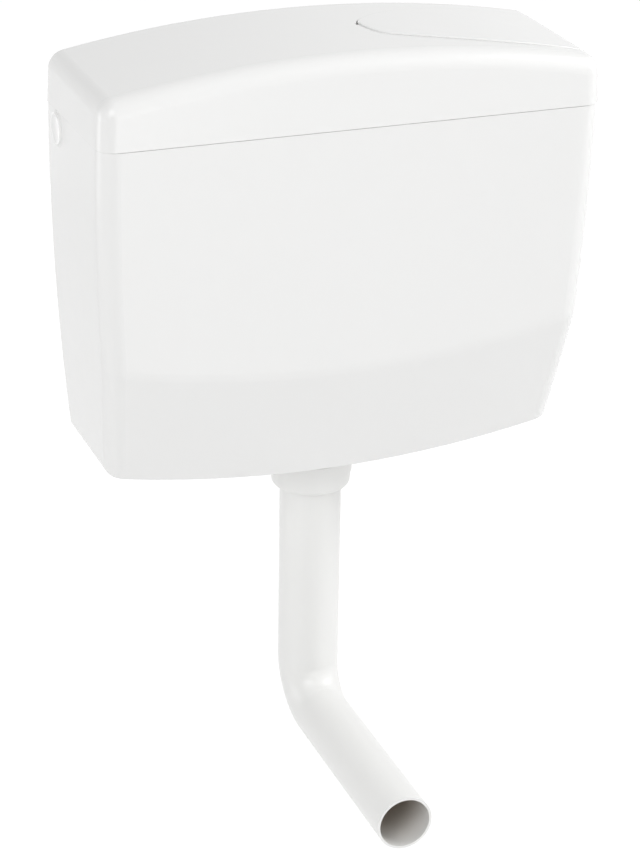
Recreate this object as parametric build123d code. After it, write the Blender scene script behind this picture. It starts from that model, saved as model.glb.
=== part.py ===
from build123d import *
import math
import os

# Frame: X right as seen from the front, Y into the wall, Z up, all in millimetres
# The origin is midway between the two wall screw holes, on the back face of the tank

# Tank shell
tank_half_width = 197.7
tank_depth = 137.4
tank_height = 288
rim_above_wall_holes = 26
widest_below_rim = 40
side_arc_radius = 2230
front_lean_share = 0.047
corner_radius = 15.5
lower_corner_radius = 9
tank_wall = 3
crease_below_rim = 194
crease_arc_radius = 975
crease_radius = 30
floor_arc_radius = 926
floor_depth = 101
wall_hole_spacing = 230
wall_hole_radius = 3.75
overrun = 8
contact_gap = 0.3
slide_gap = 0.06

# Outlet through the tank floor
outlet_to_wall = 46.5
pad_radius = 42
pad_height = 1
boss_radius = 40
outlet_hole_radius = 29.6
gasket_thickness = 3
gasket_radius = 38
tail_radius = 29
tail_bore_radius = 23.5
seat_flange_radius = 39
seat_flange_thickness = 4
upstand_radius = 35.45
upstand_height = 8
lip_radius = 26.5
lip_height = 2

# Nuts and flush bend under the tank
lock_nut_height = 6.5
lock_nut_flats = 64
nut_bevel = 1
thread_gap = 0.05
union_nut_gap = 3.5
union_nut_height = 25
union_nut_radius = 33.3
union_skirt_height = 12.5
union_skirt_step = 0.9
union_skirt_taper = 0.7
union_edge_radius = 4
union_lip_radius = 25.4
union_lip_thickness = 4
pipe_flange_radius = 28.3
pipe_flange_thickness = 3
pipe_seal_thickness = 4
pipe_radius = 25
leg_radius = 22.5
pipe_wall = 2
bend_radius = 37.8
leg_below_wall_holes = 496
leg_end_from_wall = 259.2

# Flush valve
seal_radius = 31
seal_thickness = 4
plate_thickness = 3.7
hub_radius = 19
hub_height = 8
weight_radius = 26
weight_height = 14
overflow_radius = 16
overflow_wall = 2
overflow_below_wall_holes = 14
crossbar_below_overflow = 20
crossbar_thickness = 6
crossbar_width = 10
cage_radius = 38.5
cage_wall = 3
cage_height = 81
cage_window_count = 6
cage_window_width = 26
cage_window_sill = 13
cage_window_height = 60
cage_top_thickness = 3
sleeve_height = 47
sleeve_wall = 3.6
sleeve_gap = 0.4

# Lift rod, lever and bridge
rod_radius = 2.5
rod_head_radius = 7
rod_head_height = 6
rod_below_crossbar = 6
rod_nut_radius = 6
rod_nut_height = 5
pivot_x = 80
pivot_z = 34
hub_of_lever_radius = 6
lever_width = 16
lever_beam_width = 10
lever_beam_height = 6
lever_tip_radius = 4
lever_slot_width = 6.4
push_x = 118
push_tip_drop = 2
pin_radius = 2.5
pin_length = 28
lug_thickness = 4
lug_radius = 8
bridge_width = 36
bridge_thickness = 4
bridge_rib_width = 3
bridge_rib_height = 6
bridge_rib_setback = 8
bridge_below_rim = 11
ledge_width = 44
ledge_reach = 6
ledge_height = 8

# Lid
lid_height = 56.7
lid_overhang = 0.6
lid_front_overhang = 0.3
lid_lip_radius = 0.4
lid_back_gap = 0.4
lid_end_drop = 20
lid_tilt_share = 0.0135
lid_end_lean_share = 0.05
lid_front_lean_share = 0.02
lid_edge_radius = 14
lid_wall = 2.6
lid_tongue_thickness = 1.5
lid_tongue_depth = 5
lid_tongue_gap = 0.4
tongue_notch_width = 34
tongue_notch_reach = 20
well_depth = 25
well_gap = 0.5
nose_notch_radius = 2.6
guide_radius = 7
guide_below_floor = 6
guide_height = 8.5
ear_thickness = 3
ear_radius = 5

# Flush button: its leaf outline from the front of the wide end round the nose to the back,
# as shares of the lid's half width and of its depth
button_outline_shares = (
    (1.04, -0.834), (0.806, -0.821), (0.655, -0.807), (0.484, -0.763), (0.327, -0.705), (0.242, -0.658),
    (0.186, -0.604), (0.166, -0.543), (0.15, -0.47), (0.146, -0.398), (0.191, -0.311), (0.302, -0.217),
    (0.504, -0.145), (0.756, -0.116), (1.04, -0.109))
button_nose_share = 0.146
button_middle_share = 0.58
button_nose_rise = -0.4
button_mid_rise = 1.4
button_end_rise = 0.2
button_wall = 2.6
button_rim_radius = 1.2
button_skirt = 5
button_end_skirt = 13.7
button_end_cap = 14
button_hinge_x = 42
button_hinge_y = -57
button_hinge_below_lid = 7.8
button_lug_width = 10
button_lug_radius = 4
button_pin_radius = 1.5

# Push rod and return spring
push_rod_radius = 4
push_rod_collar_radius = 6.5
push_rod_collar_height = 3
push_rod_gap = 0.4
spring_mean_radius = 5.2
spring_wire_radius = 0.5
spring_turns = 5

# Side inlets
inlet_from_wall = 23
inlet_above_wall_holes = 11.5
inlet_hole_radius = 8.6
inlet_boss_radius = 14.2
inlet_boss_rise = 0.25
inlet_thread_radius = 8.3
inlet_nut_flats = 24
inlet_nut_thickness = 7
inlet_washer_radius = 14
inlet_washer_thickness = 2
plug_flange_radius = 13
plug_flange_thickness = 2.5
plug_recess_radius = 9.5
plug_recess_depth = 0.8
plug_edge_bevel = 0.7
plug_nut_thickness = 6
plug_thread_beyond_nut = 0.5

# Fill valve on the right inlet
inlet_tail_length = 24.1
inlet_runout_width = 1
inlet_runout_depth = 0.4
inlet_bore_radius = 5
valve_flange_thickness = 3.5
valve_neck_radius = 10
valve_neck_length = 5.8
valve_head_radius = 16
valve_head_length = 23
valve_cavity_radius = 12
valve_cavity_depth = 18
valve_nozzle_radius = 5
valve_nozzle_bore = 3
diaphragm_radius = 15.8
diaphragm_thickness = 1.5
cap_radius = 18.5
cap_grip = 7
cap_end_thickness = 8.5
plunger_radius = 2.4
plunger_beyond_cap = 7.7
outlet_boss_radius = 7
outlet_boss_from_head = 14.5
outlet_boss_drop = 17.5
outlet_spigot_radius = 5.9
outlet_spigot_length = 14
outlet_bore_radius = 4
discharge_radius = 7.5
discharge_bore_radius = 6
discharge_length = 218.7
strainer_flange_radius = 7.5
strainer_flange_thickness = 1
strainer_radius = 4.6
strainer_wall = 1
strainer_length = 22
arm_pin_from_cap = 11
arm_pin_drop = 6.5
arm_pin_radius = 1.5
arm_pin_length = 17
arm_ear_below_pin = 4
arm_ear_above_inlet = 2.5
arm_width = 9.4
arm_thickness = 6
arm_hub_radius = 3.2
arm_nose_radius = 1.5
float_x = 104
float_y = -72
float_boss_radius = 6
float_radius = 24
float_height = 55
float_below_wall_holes = 20
float_edge_bevel = 3
float_screw_radius = 2.5
float_screw_grip = 10
float_screw_beyond_nut = 2
float_nut_radius = 5
float_nut_height = 4

# Heights and places that follow from the sizes above
rim_z = rim_above_wall_holes
floor_z = rim_z - tank_height
crease_z = rim_z - crease_below_rim
widest_z = rim_z - widest_below_rim
outlet_y = -outlet_to_wall
inlet_y = -inlet_from_wall
inlet_z = inlet_above_wall_holes
pad_top_z = floor_z + tank_wall + pad_height
boss_low_z = floor_z - pad_height
gasket_top_z = pad_top_z + gasket_thickness
seat_flange_top_z = gasket_top_z + seat_flange_thickness
upstand_top_z = seat_flange_top_z + upstand_height
seal_low_z = upstand_top_z + lip_height + contact_gap
seal_top_z = seal_low_z + seal_thickness
plate_top_z = seal_top_z + plate_thickness
hub_top_z = plate_top_z + hub_height
overflow_top_z = -overflow_below_wall_holes
crossbar_top_z = overflow_top_z - crossbar_below_overflow
crossbar_low_z = crossbar_top_z - crossbar_thickness
lock_nut_low_z = boss_low_z - lock_nut_height
union_top_z = lock_nut_low_z - union_nut_gap
union_low_z = union_top_z - union_nut_height
pipe_flange_low_z = union_low_z + union_lip_thickness
pipe_flange_top_z = pipe_flange_low_z + pipe_flange_thickness
tail_low_z = pipe_flange_top_z + pipe_seal_thickness
leg_z = -leg_below_wall_holes
bridge_low_z = rim_z - bridge_below_rim
bridge_top_z = bridge_low_z + bridge_thickness
lid_low_z = rim_z + contact_gap
lid_top_z = rim_z + lid_height
outlet = Pos(0, outlet_y, 0)
right_inlet = Pos(0, inlet_y, inlet_z) * Rot(0, 90, 0)
left_inlet = Pos(0, inlet_y, inlet_z) * Rot(0, -90, 0)


def half_width(z):
    return tank_half_width - (z - widest_z) ** 2 / (2 * side_arc_radius)


def front_depth(z):
    return tank_depth - front_lean_share * (rim_z - z)


lid_half_width = half_width(rim_z) + lid_overhang
lid_depth = tank_depth + lid_front_overhang
button_nose_x = button_nose_share * lid_half_width
button_middle_x = button_middle_share * lid_half_width


def lid_surface(x, y):
    return lid_top_z - lid_end_drop * (x / lid_half_width) ** 2 + lid_tilt_share * y


inlet_seat_x = half_width(inlet_z) + inlet_boss_rise
inlet_inner_x = half_width(inlet_z) - tank_wall - inlet_boss_rise
washer_inner_x = inlet_inner_x - inlet_washer_thickness
valve_neck_x = washer_inner_x - valve_flange_thickness
valve_head_x = valve_neck_x - valve_neck_length
valve_face_x = valve_head_x - valve_head_length
cap_wall_x = valve_face_x - diaphragm_thickness
cap_end_x = cap_wall_x - cap_end_thickness
arm_pin_x = cap_end_x - arm_pin_from_cap
arm_pin_z = inlet_z - arm_pin_drop
discharge_x = valve_face_x + outlet_boss_from_head
spigot_top_z = inlet_z - outlet_boss_drop
nut_outer_x = inlet_seat_x + inlet_nut_thickness
tail_end_x = inlet_seat_x + inlet_tail_length
push_floor_z = lid_surface(push_x, outlet_y) - well_depth
guide_top_z = push_floor_z - guide_below_floor + guide_height
push_tip_z = pivot_z + push_tip_drop
push_low_z = push_tip_z + lever_tip_radius + push_rod_gap
button_end_z = lid_surface(lid_half_width, 0) - button_end_skirt
button_under_z = lid_surface(push_x, outlet_y) + button_mid_rise - button_wall
push_top_z = button_under_z - push_rod_gap
collar_top_z = push_top_z - push_rod_radius
collar_low_z = collar_top_z - push_rod_collar_height
button_hinge_z = lid_surface(button_hinge_x, button_hinge_y) - button_hinge_below_lid


def rod(radius, low, high):
    """Cylinder on the local Z axis between two places along it."""
    return Pos(0, 0, low) * Cylinder(radius, high - low, align=(Align.CENTER, Align.CENTER, Align.MIN))


def ring(bore, radius, low, high):
    return rod(radius, low, high) - rod(bore, low, high)


def block(x_span, y_span, z_span):
    """Box given by its two ends along each axis."""
    sizes = [abs(ends[1] - ends[0]) for ends in (x_span, y_span, z_span)]
    middles = [(ends[0] + ends[1]) / 2 for ends in (x_span, y_span, z_span)]
    return Pos(*middles) * Box(*sizes)


def around(middle, width):
    return middle - width / 2, middle + width / 2


def across(x, y, z):
    """Place whose local Z axis runs along Y, for pins and hubs."""
    return Pos(x, y, z) * Rot(-90, 0, 0)


def hex_ring(bore, flats, low, high):
    """Six-sided nut whose outer corners are turned down at the high end."""
    across_corners = flats / math.sqrt(3)
    prism = Pos(0, 0, low) * extrude(RegularPolygon(across_corners, 6), high - low)
    turned = Pos(0, 0, low) * Cone(
        across_corners + (high - low), across_corners - nut_bevel, high - low,
        align=(Align.CENTER, Align.CENTER, Align.MIN))
    return (prism & turned) - rod(bore, low, high)


def outline_face(inset, top_z, rounding):
    """Front view of the tank: arched floor, bowed sides, flat top."""
    low_z = floor_z + inset
    corner_z = low_z
    for _ in range(6):
        corner_x = half_width(corner_z) - inset
        corner_z = low_z + corner_x ** 2 / (2 * floor_arc_radius)
    top_x = half_width(top_z) - inset
    mid_z = (corner_z + top_z) / 2
    mid_x = half_width(mid_z) - inset
    with BuildSketch(Plane.XZ) as sketch:
        with BuildLine():
            ThreePointArc((-corner_x, corner_z), (0, low_z), (corner_x, corner_z))
            ThreePointArc((corner_x, corner_z), (mid_x, mid_z), (top_x, top_z))
            Line((top_x, top_z), (-top_x, top_z))
            ThreePointArc((-top_x, top_z), (-mid_x, mid_z), (-corner_x, corner_z))
        make_face()
        if rounding > 0:
            fillet(sketch.vertices().sort_by(Axis.Y)[:2], rounding)
    return sketch.sketch


def band_slope():
    return (crease_z - floor_z) / (front_depth(crease_z) - floor_depth)


def band_section(ahead, inset):
    """Region under the sloped lower band, in the upright plane this far ahead of the floor's front edge."""
    shift = inset * math.sqrt(1 + 1 / band_slope() ** 2)
    low_z = floor_z + band_slope() * (ahead + shift)
    share = (ahead + shift) / (front_depth(crease_z) - floor_depth)
    floor_bend = 1 / (2 * floor_arc_radius)
    bend = floor_bend + share * (1 / (2 * crease_arc_radius) - floor_bend)
    x = tank_half_width + overrun
    end_z = low_z + bend * x ** 2
    below_z = floor_z - 6 * overrun
    with BuildSketch(Plane.XZ.offset(floor_depth + ahead)) as sketch:
        with BuildLine():
            ThreePointArc((-x, end_z), (0, low_z), (x, end_z))
            Line((x, end_z), (x, below_z))
            Line((x, below_z), (-x, below_z))
            Line((-x, below_z), (-x, end_z))
        make_face()
    return sketch.sketch


def front_posts(body, shortest):
    """The edges of the two upright front corners."""
    posts = []
    for edge in body.edges():
        size = edge.bounding_box().size
        if edge.center().Y < -tank_depth / 2 and size.Z > shortest and size.X < corner_radius:
            posts.append(edge)
    return posts


def side_profile(back, low_z, top_z, front):
    """Side view with a leaning front, as a slab across the whole width."""
    face = make_face(Plane.YZ * Polyline(
        (back, low_z), (back, top_z), (-front(top_z), top_z), (-front(low_z), low_z), close=True))
    return extrude(face, tank_half_width + 2 * overrun, both=True)


def tank_form(inset, top_z):
    """Body of the tank, drawn in by the inset on every side but its top."""
    back = Pos(0, -inset, 0)
    reach = (top_z - floor_z) / band_slope() + 2 * overrun
    form = back * extrude(outline_face(inset, top_z, 0), tank_depth + overrun)
    form &= side_profile(-inset, floor_z - overrun, top_z, lambda z: front_depth(z) - inset)
    form -= loft([band_section(-overrun, inset), band_section(reach, inset)], ruled=True)
    crease = [edge for edge in form.edges() if edge.length > tank_half_width
              and edge.center().Y < -floor_depth and abs(edge.center().Z - crease_z) < crease_radius]
    form = fillet(crease, crease_radius - inset)
    form = fillet(front_posts(form, slide_gap), corner_radius - inset)
    return form & back * extrude(outline_face(inset, top_z, lower_corner_radius - inset), tank_depth)


def make_tank():
    outer = tank_form(0, rim_z)
    shell = outer - tank_form(tank_wall, rim_z + overrun)
    shell += outlet * rod(pad_radius, floor_z + pad_height, pad_top_z)
    shell += outlet * rod(boss_radius, boss_low_z, floor_z + tank_wall)
    shell -= outlet * rod(outlet_hole_radius, boss_low_z, pad_top_z)
    ledge_x = around(pivot_x, ledge_width)
    ledge_z = (bridge_low_z - ledge_height, bridge_low_z)
    front_wall = front_depth(bridge_low_z) - tank_wall
    shell += block(ledge_x, (-front_wall - tank_wall / 2, -front_wall + ledge_reach), ledge_z)
    shell += block(ledge_x, (-tank_wall - ledge_reach, -tank_wall / 2), ledge_z)
    for inlet in (left_inlet, right_inlet):
        shell += inlet * rod(inlet_boss_radius, inlet_inner_x, inlet_seat_x)
        shell -= inlet * rod(inlet_hole_radius, inlet_inner_x, inlet_seat_x)
    for x in around(0, wall_hole_spacing):
        shell -= across(x, -tank_wall, 0) * rod(wall_hole_radius, -overrun, tank_wall + overrun)
    return shell


def outlet_pieces():
    lip_top_z = upstand_top_z + lip_height
    seat = ring(tail_bore_radius, tail_radius, tail_low_z, gasket_top_z)
    seat += ring(tail_bore_radius, seat_flange_radius, gasket_top_z, seat_flange_top_z)
    seat += ring(tail_bore_radius, upstand_radius, seat_flange_top_z, upstand_top_z)
    seat += ring(tail_bore_radius, lip_radius, upstand_top_z, lip_top_z)
    gasket = ring(outlet_hole_radius, gasket_radius, pad_top_z, gasket_top_z)
    lock_nut = hex_ring(tail_radius + thread_gap, lock_nut_flats, lock_nut_low_z, boss_low_z)
    seal = ring(tail_bore_radius, pipe_flange_radius, pipe_flange_top_z, tail_low_z)
    return {"valve_seat": outlet * seat, "seat_gasket": outlet * gasket,
            "outlet_lock_nut": outlet * lock_nut, "flush_pipe_seal": outlet * seal}


def make_union_nut():
    step_z = union_low_z + union_skirt_height
    skirt_radius = union_nut_radius - union_skirt_step
    foot_radius = skirt_radius - union_skirt_taper
    thread_radius = tail_radius + thread_gap
    profile = make_face(Plane.XZ * Polyline(
        (thread_radius, union_top_z), (union_nut_radius, union_top_z), (union_nut_radius, step_z),
        (skirt_radius, step_z), (foot_radius, union_low_z), (union_lip_radius, union_low_z),
        (union_lip_radius, pipe_flange_low_z), (thread_radius, pipe_flange_low_z), close=True))
    corners = profile.vertices()
    foot = [v for v in corners if v.Z < pipe_flange_low_z and v.X > pipe_flange_radius]
    profile = fillet(foot, union_edge_radius)
    return outlet * revolve(profile, Axis.Z)


def pipe_run(upright_radius, run_radius, top_z, end_y):
    """Solid run of the bend: upright pipe, tapering quarter turn, level leg."""
    turn_z = leg_z + bend_radius
    leg_start_y = outlet_y - bend_radius
    half_turn_share = 1 - math.sqrt(0.5)
    path = ThreePointArc(
        (0, outlet_y, turn_z),
        (0, outlet_y - half_turn_share * bend_radius, turn_z - bend_radius * math.sqrt(0.5)),
        (0, leg_start_y, leg_z))
    start = Plane((0, outlet_y, turn_z), x_dir=(1, 0, 0), z_dir=(0, 0, -1)) * Circle(upright_radius)
    end = Plane((0, leg_start_y, leg_z), x_dir=(1, 0, 0), z_dir=(0, -1, 0)) * Circle(run_radius)
    turn = sweep([start, end], path=path, multisection=True)
    upright = outlet * rod(upright_radius, turn_z, top_z)
    leg = Pos(0, leg_start_y, leg_z) * Rot(90, 0, 0) * rod(run_radius, 0, leg_start_y - end_y)
    return upright + turn + leg


def make_flush_bend():
    end_y = -leg_end_from_wall
    bend = pipe_run(pipe_radius, leg_radius, pipe_flange_top_z, end_y)
    bend += outlet * rod(pipe_flange_radius, pipe_flange_low_z, pipe_flange_top_z)
    return bend - pipe_run(pipe_radius - pipe_wall, leg_radius - pipe_wall, pipe_flange_top_z, end_y)


def flush_valve_pieces():
    bore = overflow_radius - overflow_wall
    tube = ring(bore, overflow_radius, seal_top_z, overflow_top_z)
    bar = block(around(0, 2 * bore + overflow_wall), around(0, crossbar_width),
                (crossbar_low_z, crossbar_top_z))
    tube += bar - rod(rod_radius + thread_gap, crossbar_low_z, crossbar_top_z)
    seal = ring(bore, seal_radius, seal_low_z, seal_top_z)
    plate = ring(overflow_radius, seal_radius, seal_top_z, plate_top_z)
    plate += ring(overflow_radius, hub_radius, plate_top_z, hub_top_z)
    weight = ring(overflow_radius + thread_gap, weight_radius, hub_top_z, hub_top_z + weight_height)
    head_low_z = pivot_z + lever_tip_radius + contact_gap
    head_top_z = head_low_z + rod_head_height
    lift_rod = rod(rod_radius, crossbar_low_z - rod_below_crossbar, head_top_z)
    lift_rod += chamfer(rod(rod_head_radius, head_low_z, head_top_z).edges(), rod_radius / 4)
    nut = ring(rod_radius + thread_gap, rod_nut_radius, crossbar_top_z, crossbar_top_z + rod_nut_height)
    return {"overflow_tube": outlet * tube, "flush_seal": outlet * seal, "seal_plate": outlet * plate,
            "valve_weight": outlet * weight, "lift_rod": outlet * lift_rod, "lift_rod_nut": outlet * nut}


def make_cage():
    wall_top_z = seat_flange_top_z + cage_height
    plate_top = wall_top_z + cage_top_thickness
    sleeve_bore = overflow_radius + sleeve_gap
    cage = ring(cage_radius - cage_wall, cage_radius, seat_flange_top_z, wall_top_z)
    cage += ring(sleeve_bore, cage_radius, wall_top_z, plate_top)
    cage += ring(sleeve_bore, sleeve_bore + sleeve_wall, plate_top, plate_top + sleeve_height)
    sill_z = seat_flange_top_z + cage_window_sill
    window = block((0, cage_radius + overrun), around(0, cage_window_width),
                   (sill_z, sill_z + cage_window_height))
    for turn in range(cage_window_count):
        cage -= Rot(0, 0, turn * 360 / cage_window_count) * window
    return outlet * cage


def make_bridge():
    front_end = -front_depth(bridge_low_z) + tank_wall + lid_tongue_gap
    back_end = -tank_wall - contact_gap
    x_span = around(pivot_x, bridge_width)
    bridge = block(x_span, (front_end, back_end), (bridge_low_z, bridge_top_z))
    rib_y = (front_end + bridge_rib_setback, back_end - bridge_rib_setback)
    rib_z = (bridge_top_z, bridge_top_z + bridge_rib_height)
    for low_x in (x_span[0], x_span[1] - bridge_rib_width):
        bridge += block((low_x, low_x + bridge_rib_width), rib_y, rib_z)
    lug_gap = lever_width / 2 + contact_gap
    for y in (outlet_y - lug_gap - lug_thickness, outlet_y + lug_gap):
        lug = block(around(pivot_x, 2 * lug_radius), (y, y + lug_thickness), (bridge_top_z, pivot_z))
        lug += across(pivot_x, y, pivot_z) * rod(lug_radius, 0, lug_thickness)
        bridge += lug - across(pivot_x, y, pivot_z) * rod(pin_radius, 0, lug_thickness)
    return bridge


def make_lever():
    hub = across(pivot_x, outlet_y - lever_width / 2, pivot_z)
    lever = hub * rod(hub_of_lever_radius, 0, lever_width)
    beam_z = around(pivot_z - contact_gap, lever_beam_height)
    low_z = pivot_z - hub_of_lever_radius
    beam = make_face(Plane.XZ * Polyline(
        (0, beam_z[0]), (0, beam_z[1]), (pivot_x, pivot_z + hub_of_lever_radius),
        (push_x, push_tip_z + lever_tip_radius / 2), (push_x, push_tip_z - lever_tip_radius),
        (pivot_x, low_z), close=True))
    beam_y = outlet_y + lever_beam_width / 2
    lever += Pos(0, beam_y, 0) * extrude(beam, lever_beam_width, dir=(0, -1, 0))
    lever += across(0, outlet_y - lever_width / 2, pivot_z) * rod(lever_tip_radius, 0, lever_width)
    lever += block((0, lever_width / 2), around(outlet_y, lever_width), beam_z)
    lever += across(push_x, outlet_y - lever_beam_width / 2, push_tip_z) * rod(
        lever_tip_radius, 0, lever_beam_width)
    slot_z = (low_z, pivot_z + lever_tip_radius)
    lever -= block((-lever_width, 0), around(outlet_y, lever_slot_width), slot_z)
    lever -= Pos(0, outlet_y, 0) * rod(lever_slot_width / 2, *slot_z)
    return lever - hub * rod(pin_radius + slide_gap, 0, lever_width)


def make_lid_form(inset, low_z):
    """Arched cover that leans in at its ends and front and drops a little towards the front."""
    def front(z):
        return lid_depth - inset - lid_front_lean_share * (z - lid_low_z)

    back_y = -lid_back_gap - inset
    top_z = lid_surface(0, back_y) - inset
    foot_x = lid_half_width - inset - lid_end_lean_share * (low_z - lid_low_z)
    end_z = top_z
    for _ in range(6):
        end_x = foot_x - lid_end_lean_share * (end_z - low_z)
        end_z = top_z - lid_end_drop * (end_x / lid_half_width) ** 2
    with BuildSketch(Plane.XZ.offset(-back_y)) as sketch:
        with BuildLine():
            ThreePointArc((-end_x, end_z), (0, top_z), (end_x, end_z))
            Polyline((end_x, end_z), (foot_x, low_z), (-foot_x, low_z), (-end_x, end_z))
        make_face()
    arch = extrude(sketch.sketch, lid_depth + overrun, dir=(0, -1, -lid_tilt_share))
    form = arch & side_profile(back_y, low_z, lid_top_z + overrun, front)
    top_face = form.faces().sort_by(Axis.Z)[-1]
    rim = [edge for edge in top_face.edges() if edge.center().Y < back_y - overrun]
    return fillet(rim + front_posts(form, lid_height / 3), lid_edge_radius - inset)


def button_plan(margin):
    """Leaf outline of the button, moved out by a margin, as a tall prism."""
    points = [Vector(x * lid_half_width, y * lid_depth) for x, y in button_outline_shares]
    moved = []
    for i, point in enumerate(points):
        before = points[max(i - 1, 0)]
        after = points[min(i + 1, len(points) - 1)]
        along = (after - before).normalized()
        moved.append(point + Vector(-along.Y, along.X) * margin)
    curve = Spline(*moved)
    face = make_face(Curve() + [curve, Line(moved[-1], moved[0])])
    return extrude(face, lid_top_z + overrun)


def make_button_section(inset, low_z):
    """Side-on shape under the button's top line and inside its end, across the whole depth."""
    left_x = button_nose_x - overrun
    end_x = lid_half_width - inset - lid_end_lean_share * (button_end_z - lid_low_z)
    places = [(left_x, button_nose_rise), (button_middle_x, button_mid_rise), (end_x, button_end_rise)]
    left, middle, end = [(x, lid_surface(x, 0) + rise - inset) for x, rise in places]
    with BuildSketch(Plane.XZ) as sketch:
        with BuildLine():
            ThreePointArc(left, middle, end)
            Polyline(end, (end_x, low_z), (left_x, low_z), left)
        make_face()
        fillet(sketch.vertices().sort_by(Axis.X)[-2:].sort_by(Axis.Y)[-1:], lid_edge_radius - inset)
    return extrude(sketch.sketch, lid_depth, dir=(0, -1, -lid_tilt_share))


def above_arch(drop):
    """Everything above the lid's arch lowered by this drop."""
    x = lid_half_width + overrun
    middle_z = lid_top_z - drop
    end_z = lid_surface(x, 0) - drop
    high_z = lid_top_z + 2 * overrun
    with BuildSketch(Plane.XZ) as sketch:
        with BuildLine():
            ThreePointArc((-x, end_z), (0, middle_z), (x, end_z))
            Polyline((x, end_z), (x, high_z), (-x, high_z), (-x, end_z))
        make_face()
    return extrude(sketch.sketch, lid_depth + overrun, dir=(0, -1, -lid_tilt_share))


def tongue():
    """Shelf over the tank rim with a lip that drops inside the tank wall."""
    shelf_top_z = lid_low_z + lid_wall
    lip_low_z = rim_z - lid_tongue_depth
    inset = tank_wall + lid_tongue_gap
    lip = tank_form(inset, shelf_top_z) - tank_form(inset + lid_tongue_thickness, shelf_top_z)
    wide = lid_half_width + overrun
    lip &= block((-wide, wide), (-lid_depth, 0), (lip_low_z, shelf_top_z))
    for end_x in ((-wide, tongue_notch_reach - wide), (wide - tongue_notch_reach, wide)):
        lip -= block(end_x, around(inlet_y, tongue_notch_width), (lip_low_z, lid_low_z))
    return lip


def make_lid():
    outer = make_lid_form(0, lid_low_z)
    lips = [edge for edge in outer.faces().sort_by(Axis.Z)[0].edges() if edge.center().Y < -overrun]
    outer = fillet(lips, lid_lip_radius)
    lid = outer - make_lid_form(lid_wall, lid_low_z - overrun)
    shelf_top_z = lid_low_z + lid_wall
    wide = lid_half_width + overrun
    slab = outer & block((-wide, wide), (-lid_depth, 0), (lid_low_z, shelf_top_z))
    inset = tank_wall + lid_tongue_gap + lid_tongue_thickness
    lid += slab - tank_form(inset, rim_z + lid_height)
    lid += tongue()
    well_block = button_plan(well_gap + lid_wall) & above_arch(well_depth + lid_wall) & outer
    well = button_plan(well_gap) & above_arch(well_depth)
    lid = lid + well_block - well
    nose_floor_z = lid_surface(button_nose_x, button_hinge_y) - well_depth
    notch = Pos(button_nose_x, button_hinge_y, 0) * rod(nose_notch_radius, nose_floor_z, lid_top_z)
    lid -= notch
    push = Pos(push_x, outlet_y, 0)
    lid += push * rod(guide_radius, guide_top_z - guide_height, guide_top_z)
    lid -= push * rod(push_rod_radius + slide_gap, guide_top_z - guide_height, guide_top_z)
    ear_low_z = lid_surface(button_hinge_x, button_hinge_y) - well_depth - lid_wall / 2
    ear_gap = button_lug_width / 2 + contact_gap
    for y in (button_hinge_y - ear_gap - ear_thickness, button_hinge_y + ear_gap):
        hinge = across(button_hinge_x, y, button_hinge_z)
        ear = block(around(button_hinge_x, 2 * ear_radius), (y, y + ear_thickness),
                    (ear_low_z, button_hinge_z))
        ear += hinge * rod(ear_radius, 0, ear_thickness)
        lid += ear - hinge * rod(button_pin_radius, 0, ear_thickness)
    return lid


def make_button():
    shell = button_plan(0) & make_button_section(0, button_end_z)
    rim = [edge for edge in shell.edges().filter_by(GeomType.LINE, reverse=True)
           if edge.bounding_box().min.Z > button_end_z and edge.length > lid_depth]
    shell = fillet(rim, button_rim_radius)
    shell -= button_plan(-button_wall) & make_button_section(button_wall, 0)
    cap_x = lid_half_width - button_end_cap
    skirt_cut = make_button_section(button_skirt, 0)
    skirt_cut &= block((0, cap_x), (-lid_depth - overrun, 0), (0, lid_top_z))
    shell -= skirt_cut
    lug_y = around(button_hinge_y, button_lug_width)
    lug_top_z = lid_surface(button_hinge_x, button_hinge_y) - button_wall / 2
    hinge = across(button_hinge_x, lug_y[0], button_hinge_z)
    shell += block(around(button_hinge_x, 2 * button_lug_radius), lug_y, (button_hinge_z, lug_top_z))
    shell += hinge * rod(button_lug_radius, 0, button_lug_width)
    return shell - hinge * rod(button_pin_radius + slide_gap, 0, button_lug_width)


def push_pieces():
    push = Pos(push_x, outlet_y, 0)
    push_rod = rod(push_rod_radius, push_low_z, collar_top_z)
    push_rod += rod(push_rod_collar_radius, collar_low_z, collar_top_z)
    push_rod += Pos(0, 0, collar_top_z) * Sphere(push_rod_radius)
    low_z = guide_top_z + contact_gap + spring_wire_radius
    high_z = collar_low_z - contact_gap - spring_wire_radius
    path = Helix((high_z - low_z) / spring_turns, high_z - low_z, spring_mean_radius)
    wire = Plane(path @ 0, z_dir=path % 0) * RegularPolygon(spring_wire_radius, 5)
    spring = Pos(0, 0, low_z) * sweep(wire, path=path, is_frenet=True)
    return {"push_rod": push * push_rod, "return_spring": push * spring}


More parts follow.
